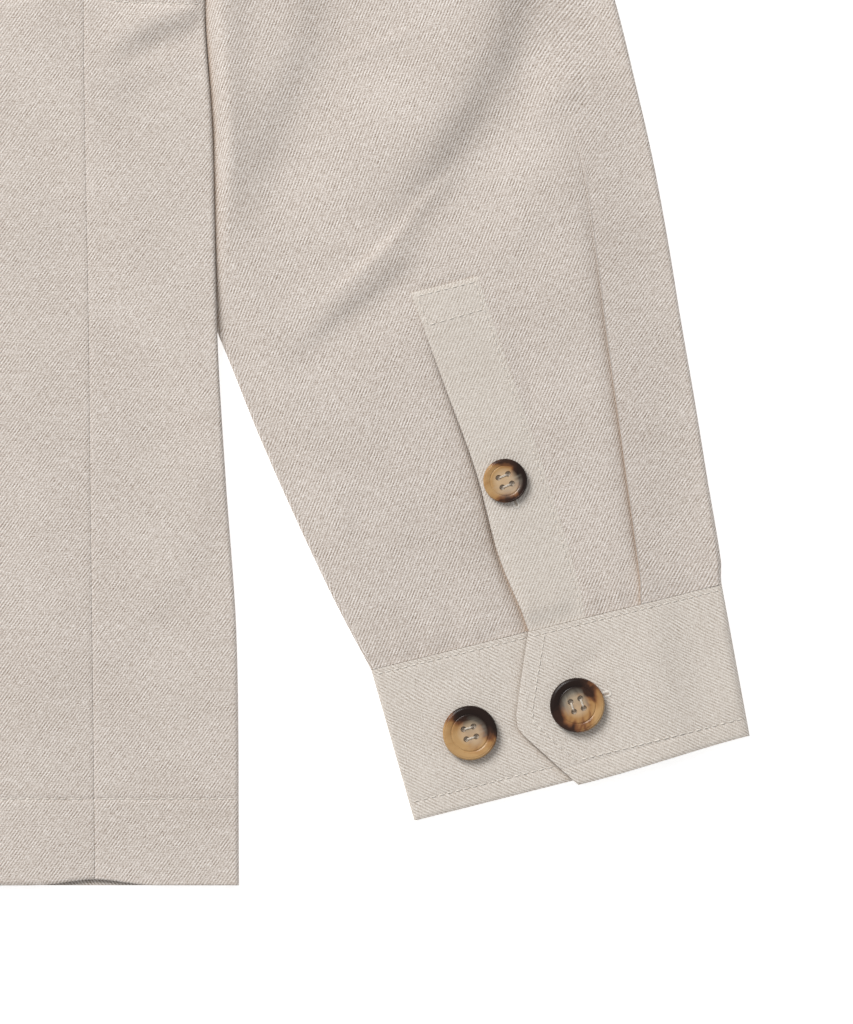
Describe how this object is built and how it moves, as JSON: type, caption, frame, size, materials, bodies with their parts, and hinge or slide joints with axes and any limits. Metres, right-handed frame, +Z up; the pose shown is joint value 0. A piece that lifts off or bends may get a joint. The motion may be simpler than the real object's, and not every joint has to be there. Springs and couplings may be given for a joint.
{
  "type": "safari jacket",
  "caption": "Safari jacket in pale melange twill laid flat on its back, sleeves tucked under the sides, with patch pockets, buttoned cuffs and a shirt collar",
  "frame": {"origin": "under the middle of the whole jacket, on the surface that it lies on", "axes": "+X is the wearer's left, across both sleeves; +Y runs up the body from the hem to the collar; +Z is up off the surface, out of the fronts"},
  "size_m": [0.8944, 0.735, 0.0093],
  "materials": {
    "melange_twill": "matt melange cotton and linen twill with fine diagonal ribs, beige on off-white",
    "horn": "polished marbled horn, dark brown to caramel"
  },
  "bodies": {
    "root": {"back": "melange_twill", "front_left": "melange_twill", "front_right": "melange_twill", "front_band": "melange_twill", "sleeve_left": "melange_twill", "sleeve_right": "melange_twill", "sleeve_placket_left": "melange_twill", "sleeve_placket_right": "melange_twill", "cuff_left": "melange_twill", "cuff_right": "melange_twill", "collar": "melange_twill", "collar_stand": "melange_twill", "pocket_chest_left": "melange_twill", "pocket_chest_right": "melange_twill", "pocket_lower_left": "melange_twill", "pocket_lower_right": "melange_twill", "flap_chest_left": "melange_twill", "flap_chest_right": "melange_twill", "flap_lower_left": "melange_twill", "flap_lower_right": "melange_twill", "button_front_1": "horn", "button_front_2": "horn", "button_front_3": "horn", "button_front_4": "horn", "button_front_5": "horn", "button_front_6": "horn", "button_stand": "horn", "button_placket_left": "horn", "button_placket_right": "horn", "button_cuff_over_left": "horn", "button_cuff_over_right": "horn", "button_cuff_under_left": "horn", "button_cuff_under_right": "horn", "button_flap_chest_left": "horn", "button_flap_chest_right": "horn", "button_flap_lower_left": "horn", "button_flap_lower_right": "horn"}
  },
  "joints": []
}
